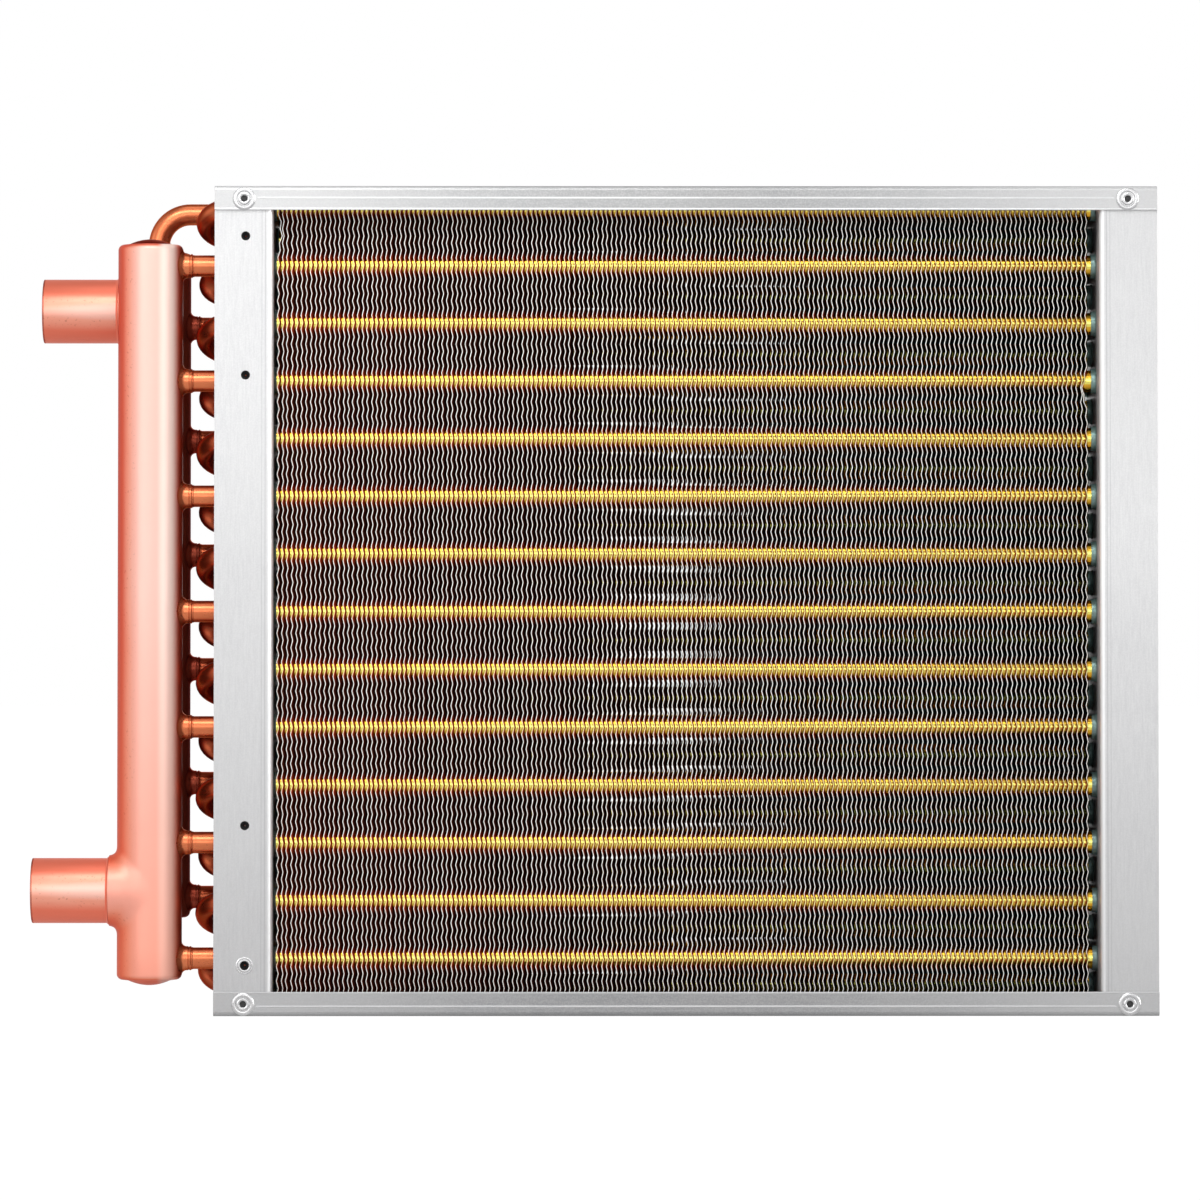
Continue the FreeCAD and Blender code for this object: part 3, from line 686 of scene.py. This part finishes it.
def cup(skin, y, z):
    """Belled end where two tubes meet, with its rounded braze bead."""
    turned(skin, Vector((JOINT_X, y, z)), X, Z,
           [(-5.2, 4.78), (-4.6, 5.05), (-3.6, 5.32), (1.6, 5.38), (2.3, 5.55), (2.9, 5.4), (3.3, 4.9)], 32)


for half, (row, next_row) in (("front", (0, 1)), ("rear", (1, 2))):
    for number in range(HAIRPINS_IN_ROW):
        place = 2 * number + (0 if half == "front" else 1)
        start = Vector((RETURN_BEND_X, *tube_place(row, place)))
        end = Vector((RETURN_BEND_X, *tube_place(next_row, place)))
        bend = Skin()
        stations, side = u_stations(start, end, -X, JOINT_X)
        tube_along(bend, stations, side, TUBE_R)
        cup(bend, start.y, start.z)
        cup(bend, end.y, end.z)
        name = "%s_return_bend_%d" % (half, number + 1)
        add_piece(name + "_tube", bend.points, bend.faces, shaded_bend_copper, (name,))


# Headers: two upright copper tubes, 28.6 mm outside with a 1.25 mm wall. A collar is drawn out of the
# wall for the port, in one smooth fillet, and the ends are rolled in over the caps. The copper is
# satin. Its red rim where it turns away from the eye and its pale middle are painted, and its right
# side beside the stubs is painted dark: painted sheen, painted highlight and painted shade.
HEADER_PINK = (1.0, 0.37, 0.25)
HEADER_PALE = (1.0, 0.46, 0.33)
HEADER_RED = (0.84, 0.10, 0.04)
HEADER_SPECK = (0.45, 0.12, 0.07)
BRUSHED_UPRIGHT = (2.6, 2.6, 0.22)
BRUSHED_LEVEL = (0.22, 2.6, 2.6)
HEADER_FINENESS = 210.0
# Supply header: a painted highlight in its middle and up its right side, a painted darker rim, and painted
# shade at its foot and along its right edge.
supply_copper = copper_material(
    "supply_copper", HEADER_PINK, HEADER_PALE, HEADER_RED, tint=(0.6, 0.2, 0.12), rough=0.42,
    stretch=BRUSHED_UPRIGHT, fineness=HEADER_FINENESS, darkest=(0.42, 0.10, 0.05), metallic=0.48, coat=0.3,
    turn=(0.14, 0.55), side_tone=(-224.0, -221.6, (0.33, 0.034, 0.014)), crown=(1.0, 0.56, 0.48), speckle=0.65,
    shoulder=True)
# Return header: a painted darker rim and a painted shade over its right side.
return_copper = copper_material(
    "return_copper", HEADER_PINK, HEADER_PALE, HEADER_RED, tint=(0.5, 0.14, 0.09), rough=0.48,
    stretch=BRUSHED_UPRIGHT, fineness=HEADER_FINENESS, darkest=HEADER_SPECK, metallic=0.8, turn=(0.14, 0.58),
    side_tone=(-230.5, -225.0, (0.32, 0.07, 0.04)))
# Dark red copper: on the upper caps and the return header's stub collars it is a painted shade.
dark_red_copper = copper_material(
    "dark_red_copper", low=(0.34, 0.06, 0.035), high=(0.46, 0.10, 0.055), edge=(0.15, 0.012, 0.008),
    tint=(1.0, 0.4, 0.3), rough=0.36, stretch=BRUSHED_UPRIGHT, fineness=HEADER_FINENESS,
    darkest=(0.12, 0.03, 0.02), metallic=0.92)
HEADER_R = 14.29
HEADER_WALL = 1.25
SUPPLY_X, SUPPLY_Y = -235.85, -22.0
RETURN_X, RETURN_Y = -234.75, 22.0
SUPPLY_LOW, SUPPLY_HIGH = 14.9, 338.3
RETURN_LOW, RETURN_HIGH = 40.3, 337.2
SUPPLY_PORT_Z = 53.9
RETURN_PORT_Z = 311.0
COLLAR_R = 15.5
COLLAR_END = 17.8
TAPER_FROM_X = -13.0
TAPER_LENGTH = 22.0
TAPER = 6.5
TIP_X = 4.0
TIP_TAPER = 1.5
TEE_HALF = 25.0
TEE_BLEND = 4.0
TEE_GRAIN = 0.9
TEE_TRIM = 1.5
COLLAR_TRIM = 0.4
SEAM_LAP = 0.6
SETTLE_ROUNDS = 8
PROBE = 0.01
HEADER_SIDES = 72


def tee_distance(points):
    """Distance from the skin of a header blended with its port's collar, both about the port's crossing.
    The collar's body tapers off inside the header, so that it never shows on the far side."""
    upright = np.hypot(points[:, 0], points[:, 1]) - HEADER_R
    inward = np.clip((points[:, 0] - TAPER_FROM_X) / TAPER_LENGTH, 0, 1)
    radius = COLLAR_R - TAPER * inward ** 2 * (3 - 2 * inward)
    radius -= TIP_TAPER * np.maximum(points[:, 0] - TIP_X, 0)
    sideways = np.hypot(points[:, 1], points[:, 2]) - radius
    share = np.clip(0.5 + 0.5 * (sideways - upright) / TEE_BLEND, 0, 1)
    return sideways * (1 - share) + upright * share - TEE_BLEND * share * (1 - share)


def tee(skin, x, y, z):
    """Adds the header's length round its port, with the collar drawn out of it in a smooth fillet.
    A coarse even mesh is settled on the blended skin, cut square at its three ends and given its wall."""
    rough = Skin()
    origin = Vector((0, 0, 0))
    turned(rough, origin, Z, X, [(-TEE_HALF, HEADER_R), (TEE_HALF, HEADER_R)], 64)
    turned(rough, origin, -X, Z, [(0.0, COLLAR_R), (COLLAR_END + 1, COLLAR_R)], 64)
    mesh = bpy.data.meshes.new("tee_rough")
    mesh.from_pydata([tuple(point) for point in rough.points], [], rough.faces)
    block = bpy.data.objects.new("tee_rough", mesh)
    bpy.context.scene.collection.objects.link(block)
    voxels = block.modifiers.new("voxels", "REMESH")
    voxels.mode = "VOXEL"
    voxels.voxel_size = TEE_GRAIN
    drawn = bpy.data.meshes.new_from_object(block.evaluated_get(bpy.context.evaluated_depsgraph_get()))
    points = np.array([vertex.co for vertex in drawn.vertices], float)
    for _ in range(SETTLE_ROUNDS):
        gap = tee_distance(points)
        slope = np.stack([(tee_distance(points + offset) - gap) / PROBE for offset in np.eye(3) * PROBE],
                         axis=1)
        points -= slope * (gap / np.maximum((slope ** 2).sum(axis=1), 0.25))[:, None]
    cut_z, cut_x = TEE_HALF - TEE_TRIM, COLLAR_END - COLLAR_TRIM
    centres = np.array([points[list(face.vertices)].mean(axis=0) for face in drawn.polygons])
    kept = (np.abs(centres[:, 2]) < cut_z) & (centres[:, 0] > -cut_x)
    block.data = bpy.data.meshes.new("tee_skin")
    block.data.from_pydata([tuple(point) for point in points], [],
                           [tuple(face.vertices) for face, keep in zip(drawn.polygons, kept) if keep])
    block.modifiers.clear()
    wall = block.modifiers.new("wall", "SOLIDIFY")
    wall.thickness = HEADER_WALL
    wall.offset = -1
    solid = bpy.data.meshes.new_from_object(block.evaluated_get(bpy.context.evaluated_depsgraph_get()))
    used = sorted({index for face in solid.polygons for index in face.vertices})
    renumbered = {index: len(skin.points) + order for order, index in enumerate(used)}
    corners = [solid.vertices[index].co for index in used]
    skin.points.extend((x + corner[0], y + corner[1], z + corner[2]) for corner in corners)
    skin.faces.extend(tuple(renumbered[index] for index in face.vertices) for face in solid.polygons)
    bpy.data.objects.remove(block)
    return cut_z - SEAM_LAP


ROLL = 2.4
ROLL_STEPS = 6
BORE_R = HEADER_R - HEADER_WALL


def header_skin(x, y, low, high, port_z):
    """One header: the tee round its port and a tube with a rolled end above and below it."""
    skin = Skin()
    seam = tee(skin, x, y, port_z)
    rolled = [(ROLL - 1.2, BORE_R), (0.9, BORE_R - 0.6), (0.7, 11.3), (0.1, 11.2), (0.0, 11.4)]
    for step in range(1, ROLL_STEPS + 1):
        angle = math.pi / 2 * step / ROLL_STEPS
        rolled.append((ROLL * (1 - math.cos(angle)), HEADER_R - ROLL + ROLL * math.sin(angle)))
    for end, facing, length in ((low, 1, port_z - seam - low), (high, -1, high - port_z - seam)):
        profile = rolled + [(length - 1.0, HEADER_R), (length, HEADER_R - 0.02), (length, BORE_R)]
        turned(skin, Vector((x, y, end)), Z * facing, X, profile, HEADER_SIDES, wrap=True)
    return skin


skin = header_skin(SUPPLY_X, SUPPLY_Y, SUPPLY_LOW, SUPPLY_HIGH, SUPPLY_PORT_Z)
add_piece("supply_header_tube", skin.points, skin.faces, supply_copper,
          ("supply_header",), smooth=35)
skin = header_skin(RETURN_X, RETURN_Y, RETURN_LOW, RETURN_HIGH, RETURN_PORT_Z)
add_piece("return_header_tube", skin.points, skin.faces, return_copper,
          ("return_header",), smooth=35)


# Header caps: shallow pressed copper discs, domed outwards, that sit under the headers' rolled ends and
# are brazed there. The upper two are painted dark red, a painted shade.
DOME_R = 9.6
DOME_RISE = 2.3
DOME_STEPS = 10


def cap_skin(x, y, z, facing):
    """One cap with its rim inside the header's end and its dome outside."""
    skin = Skin()
    profile = [(-3.0, 12.95), (-0.9, 12.95), (-0.5, 11.2), (0.1, 11.0)]
    for step in range(DOME_STEPS):
        radius = DOME_R * math.cos(math.pi / 2 * step / DOME_STEPS)
        profile.append((0.2 + DOME_RISE * (1 - (radius / DOME_R) ** 2), radius))
    turned(skin, Vector((x, y, z)), Z * facing, X, profile, 64)
    return skin


for name, x, y, z, facing in (
        ("supply_header_top_cap", SUPPLY_X, SUPPLY_Y, SUPPLY_HIGH, 1),
        ("supply_header_bottom_cap", SUPPLY_X, SUPPLY_Y, SUPPLY_LOW, -1),
        ("return_header_top_cap", RETURN_X, RETURN_Y, RETURN_HIGH, 1),
        ("return_header_bottom_cap", RETURN_X, RETURN_Y, RETURN_LOW, -1)):
    skin = cap_skin(x, y, z, facing)
    copper = dark_red_copper if facing > 0 else supply_copper
    add_piece(name + "_disc", skin.points, skin.faces, copper, (name,), smooth=50)


# Ports: two straight copper tubes, 28.6 mm outside with a 1.25 mm wall, brazed into the headers'
# collars. Water comes in by the low one and leaves by the high one. Each has a ring of braze at its
# collar and a dark cut edge at its open end.
# The port: a painted highlight in a narrow band where it faces the eye, and a painted darker rim.
port_copper = copper_material(
    "port_copper", HEADER_PINK, HEADER_PALE, edge=(0.94, 0.21, 0.12), tint=(1.0, 0.6, 0.5), rough=0.38,
    stretch=BRUSHED_LEVEL, fineness=HEADER_FINENESS, darkest=HEADER_SPECK, metallic=0.55, coat=0.3,
    turn=(0.015, 0.25), crown=(1.0, 0.60, 0.50), crown_reach=0.06, speckle=0.655)
PORT_START = 14.8
PORT_REACH = 51.5
port_profile = [
    (PORT_START, HEADER_R), (PORT_REACH - 0.45, HEADER_R), (PORT_REACH - 0.12, HEADER_R - 0.14),
    (PORT_REACH - 0.03, HEADER_R - 0.45), (PORT_REACH - 0.03, BORE_R + 0.3), (PORT_REACH - 0.3, BORE_R),
    (PORT_START, BORE_R)]
braze_profile = [
    (COLLAR_END - 0.1, HEADER_R - 0.2), (COLLAR_END, HEADER_R + 0.7), (COLLAR_END + 0.3, HEADER_R + 0.55),
    (COLLAR_END + 0.7, HEADER_R + 0.15), (COLLAR_END + 0.95, HEADER_R - 0.1)]
rim_profile = [
    (PORT_REACH - 0.9, HEADER_R - 0.02), (PORT_REACH - 0.6, HEADER_R + 0.02),
    (PORT_REACH - 0.12, HEADER_R - 0.1), (PORT_REACH, HEADER_R - 0.45), (PORT_REACH, HEADER_R - 0.8),
    (PORT_REACH - 0.6, HEADER_R - 0.6)]
rims = Skin()
for name, x, y, z in (("supply_port", SUPPLY_X, SUPPLY_Y, SUPPLY_PORT_Z),
                      ("return_port", RETURN_X, RETURN_Y, RETURN_PORT_Z)):
    skin = Skin()
    turned(skin, Vector((x, y, z)), -X, Z, port_profile, HEADER_SIDES, wrap=True)
    turned(skin, Vector((x, y, z)), -X, Z, braze_profile, HEADER_SIDES, wrap=True)
    turned(rims, Vector((x, y, z)), -X, Z, rim_profile, HEADER_SIDES, wrap=True)
    add_piece(name + "_tube", skin.points, skin.faces, port_copper, (name,), smooth=35)
add_piece("port_cut_edges", rims.points, rims.faces, dark_red_copper, smooth=35)


# Stubs and crossover: straight coil tubes between the header walls and the hairpins, brazed at both
# ends, and one tube that rises out of the return header's cap and turns into the highest tube.
stub_copper = copper_material(
    "stub_copper", low=(0.74, 0.185, 0.075), high=(0.88, 0.28, 0.125), edge=(0.50, 0.10, 0.04),
    tint=(1.0, 0.45, 0.25), rough=0.27, stretch=(0.3, 1.0, 1.0), fineness=300.0, darkest=(0.16, 0.05, 0.02),
    metallic=0.85)
STUB_COLLAR_R = 5.3
STUB_COLLAR_REACH = 18.6
STUB_FILLET = 2.2
FILLET_STEPS = 8
STUB_START = 11.0


def drawn_collar(skin, header_x, header_y, z, radius, reach, flare, count=32):
    """Saddle that rises from a header's right wall in a fillet to a short collar round a stub."""
    rings = []
    for step in range(FILLET_STEPS + 1):
        angle = math.pi / 2 * step / FILLET_STEPS
        ring_radius = radius + flare * (1 - math.sin(angle))
        rise = flare * (1 - math.cos(angle))
        ring = []
        for i in range(count):
            turn = 2 * math.pi * i / count
            across = ring_radius * math.cos(turn)
            wall = math.sqrt(HEADER_R ** 2 - across ** 2)
            ring.append(Vector((header_x + min(wall + rise, reach - 0.5), header_y - across,
                                z + ring_radius * math.sin(turn))))
        rings.append(ring)
    for shrink, back in ((0.0, 1.5), (0.25, 1.3), (0.25, 1.0), (0.0, 0.8), (0.0, 0.4), (0.12, 0.1),
                         (0.35, 0.0), (1.2, 0.0)):
        ring_radius = radius - shrink
        ring = []
        for i in range(count):
            turn = 2 * math.pi * i / count
            ring.append(Vector((header_x + (reach - back), header_y - ring_radius * math.cos(turn),
                                z + ring_radius * math.sin(turn))))
        rings.append(ring)
    skin.rings(rings, cap_start=False)


def stub_tube(skin, x, y, z):
    """One stub from inside the header's wall to its belled joint, with the ring of braze at its collar."""
    tube_along(skin, [(Vector((x + STUB_START, y, z)), X), (Vector((JOINT_X, y, z)), X)], Z, TUBE_R)
    cup(skin, y, z)
    turned(skin, Vector((x + STUB_COLLAR_REACH, y, z)), X, Z,
           [(-0.1, 4.7), (0.2, 4.92), (0.5, 4.9), (0.8, 4.7)], 32)


supply_stub_z = [tube_place(0, place)[1] for place in range(1, TUBES_IN_ROW, 2)]
return_stub_z = [tube_place(2, place)[1] for place in range(2, TUBES_IN_ROW, 2)]
# The return header's stub collars are painted dark red, a painted shade.
for name, x, y, heights, copper in (
        ("supply_stub_collars", SUPPLY_X, SUPPLY_Y, supply_stub_z, stub_copper),
        ("return_stub_collars", RETURN_X, RETURN_Y, return_stub_z, dark_red_copper)):
    skin = Skin()
    for z in heights:
        drawn_collar(skin, x, y, z, STUB_COLLAR_R, STUB_COLLAR_REACH, STUB_FILLET)
    add_piece(name, skin.points, skin.faces, copper)
for number, z in enumerate(supply_stub_z, 1):
    skin = Skin()
    stub_tube(skin, SUPPLY_X, SUPPLY_Y, z)
    name = "supply_stub_%d" % number
    add_piece(name + "_tube", skin.points, skin.faces, stub_copper, (name,))
skin = Skin()
for z in return_stub_z:
    stub_tube(skin, RETURN_X, RETURN_Y, z)
# The return stubs share the bends' dark red copper, a painted shade.
add_piece("return_stub_tubes", skin.points, skin.faces, shaded_bend_copper, ("return_stubs",))

CROSSOVER_R = 14.0
CROSSOVER_STEPS = 16
skin = Skin()
turn = Vector((RETURN_X + CROSSOVER_R, RETURN_Y, TOP_TUBE_Z - CROSSOVER_R))
stations = [(Vector((RETURN_X, RETURN_Y, RETURN_HIGH - 4)), Z)]
for step in range(CROSSOVER_STEPS + 1):
    angle = math.pi / 2 * step / CROSSOVER_STEPS
    stations.append((turn + Vector((-math.cos(angle), 0, math.sin(angle))) * CROSSOVER_R,
                     Vector((math.sin(angle), 0, math.cos(angle)))))
stations.append((Vector((JOINT_X, RETURN_Y, TOP_TUBE_Z)), X))
tube_along(skin, stations, Y, TUBE_R)
cup(skin, RETURN_Y, TOP_TUBE_Z)
turned(skin, Vector((RETURN_X, RETURN_Y, RETURN_HIGH + 2.0)), Z, X,
       [(-1.0, 6.6), (0.4, 6.2), (1.0, 5.4), (1.6, 4.7)], 32)
add_piece("crossover_bend", skin.points, skin.faces, stub_copper, ("crossover_tube",))


# Corner rivets: eight blind rivets of bright aluminium through the lapped flanges. Each has a flat
# flange with a groove, a raised ring round the hole that the pin left, and a blind end behind. The hole
# is a shallow pit painted near black, a painted shade for its depth.
rivet_aluminium, add = new_material("rivet_aluminium")
grain = grain_node(add, GRAIN_EVEN, fineness=700.0, cloud_scale=60.0, speck_scale=900.0, speck_limit=0.62)
colour = blend_colours(add, grain.outputs["Cloud"], (0.50, 0.50, 0.51), (0.68, 0.68, 0.68))
bump = add("ShaderNodeBump", {"Height": grain.outputs["Cloud"], "Strength": 0.03, "Distance": 0.0002})
shader = add("ShaderNodeBsdfPrincipled", {"Base Color": colour, "Metallic": 0.85, "Roughness": 0.25,
                                          "Normal": bump.outputs[0]})
add("ShaderNodeOutputMaterial", {"Surface": shader.outputs[0]})
# Painted shade: near black for the depth of the rivets' pin holes and of the screw holes.
pin_hole, add = new_material("rivet_pin_hole")
grain = grain_node(add, GRAIN_EVEN, fineness=700.0, cloud_scale=900.0)
colour = blend_colours(add, grain.outputs["Cloud"], (0.015, 0.015, 0.015), (0.06, 0.06, 0.06))
shader = add("ShaderNodeBsdfPrincipled", {"Base Color": colour, "Metallic": 0.3, "Roughness": 0.6})
add("ShaderNodeOutputMaterial", {"Surface": shader.outputs[0]})

RIVET_X = 193.55
RIVET_HEIGHTS = (5.3, CASE_HEIGHT - 5.7)
FLANGE_BACK = 43.2
head_profile = [(-0.05, 5.0), (0.2, 5.0), (0.42, 4.8), (0.54, 4.3), (0.56, 3.7), (0.48, 3.25), (0.06, 3.1),
                (0.06, 2.8), (1.05, 2.66), (1.19, 2.35), (1.19, 1.9), (1.0, 1.5), (0.5, 1.25), (0.1, 1.2)]
pit_profile = [(0.1, 1.2), (0.2, 1.15), (0.24, 0.9), (0.22, 0.4)]
blind_profile = [(0.0, 1.6), (0.3, 2.4), (1.2, 2.5), (1.5, 2.1), (1.5, 0.8)]
heads = Skin()
pits = Skin()
for facing in (-1, 1):
    for side in (-1, 1):
        for height in RIVET_HEIGHTS:
            out = Y * facing
            base = Vector((side * RIVET_X, facing * CHANNEL_FACE, height))
            turned(heads, base, out, X, head_profile, 48, wrap=True)
            turned(pits, base, out, X, pit_profile, 24)
            turned(heads, Vector((side * RIVET_X, facing * FLANGE_BACK, height)), -out, X, blind_profile, 24)
add_piece("corner_rivet_heads", heads.points, heads.faces, rivet_aluminium,
          ("corner_rivets",), smooth=35)
add_piece("rivet_pin_holes", pits.points, pits.faces, pin_hole, smooth=35)


# Screw holes: four holes drilled through the left end plate's front flange, two above and two below.
# The drill left a bright turned edge in front of each. Behind each hole a near-black cone nearly closes
# it, a painted shade for the dark inside the casing. Round the lowest hole a screw head has rubbed the
# zinc bright in two rings.
HOLE_X = -192.95
HOLE_HEIGHTS = (22.0, 83.0, 280.0, 341.0)
PLATE_FACE = 44.5
rim_profile = [(-0.4, 2.0), (0.04, 2.02), (0.10, 2.2), (0.08, 2.5), (-0.02, 2.6), (-0.4, 2.5)]
shade_cone_profile = [(-0.6, 2.0), (0.0, 2.35), (0.8, 2.1), (1.5, 1.5), (2.0, 0.5), (1.9, 0.35), (1.2, 1.3),
                (0.3, 1.8), (-0.6, 1.95)]
rubbed_profile = [(-0.4, 2.0), (0.12, 2.05), (0.24, 2.35), (0.14, 2.7), (-0.02, 2.8), (-0.02, 3.0),
                  (0.16, 3.15), (0.2, 3.5), (0.08, 3.85), (-0.4, 3.85)]
rims = Skin()
shade_cones = Skin()
for z in HOLE_HEIGHTS:
    turned(rims, Vector((HOLE_X, -PLATE_FACE, z)), -Y, X, rim_profile, 32, wrap=True)
    turned(shade_cones, Vector((HOLE_X, -FLANGE_BACK, z)), Y, X, shade_cone_profile, 24, wrap=True)
rubbed = Skin()
turned(rubbed, Vector((HOLE_X, -PLATE_FACE, HOLE_HEIGHTS[0])), -Y, X, rubbed_profile, 40, wrap=True)
add_piece("rubbed_hole_ring", rubbed.points, rubbed.faces, rivet_aluminium)
add_piece("screw_hole_rims", rims.points, rims.faces, plate_zinc)
add_piece("screw_hole_shade_cones", shade_cones.points, shade_cones.faces, pin_hole)
